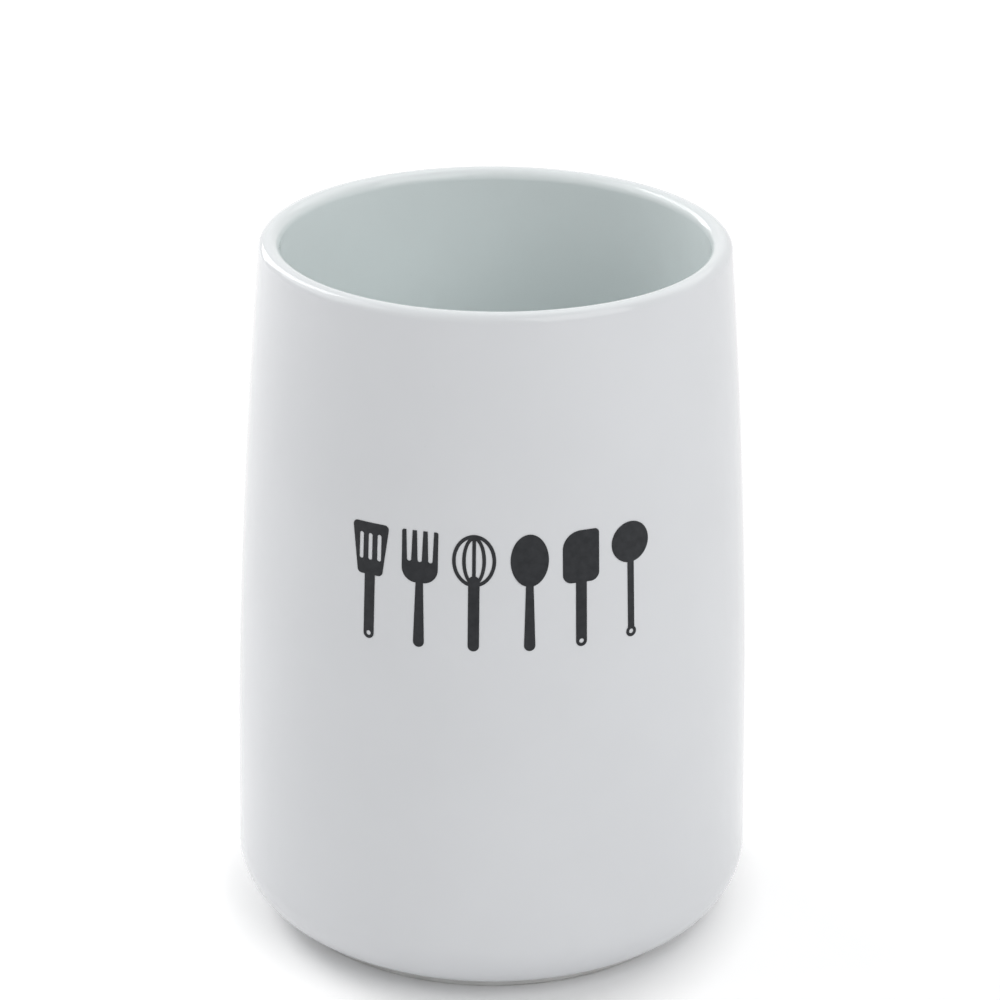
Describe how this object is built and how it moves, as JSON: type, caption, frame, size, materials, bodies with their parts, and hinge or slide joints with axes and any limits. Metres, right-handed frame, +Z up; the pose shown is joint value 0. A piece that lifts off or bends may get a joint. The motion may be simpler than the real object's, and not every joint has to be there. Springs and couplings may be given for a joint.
{
  "type": "utensil holder",
  "caption": "Tall round glazed porcelain crock, gently bowed and tapering to a full-round lip, with a bare foot ring and a dark utensil print, for standing kitchen tools in.",
  "frame": {"origin": "on the table, at the middle of the foot ring", "axes": "+Z up along the crock's axis, the printed front facing -Y, +X to the right seen from the front"},
  "size_m": [0.1214, 0.1214, 0.165],
  "materials": {
    "porcelain_bisque": "bare fired porcelain, fine matte grain",
    "clear_glaze": "clear gloss glaze over white porcelain",
    "print_enamel": "charcoal fired enamel print, satin"
  },
  "bodies": {
    "root": {"porcelain_body": "porcelain_bisque", "glaze_coat": "clear_glaze", "underside_glaze": "clear_glaze", "print_turner": "print_enamel", "print_fork": "print_enamel", "print_whisk": "print_enamel", "print_spoon": "print_enamel", "print_scraper": "print_enamel", "print_ladle": "print_enamel"}
  },
  "joints": []
}
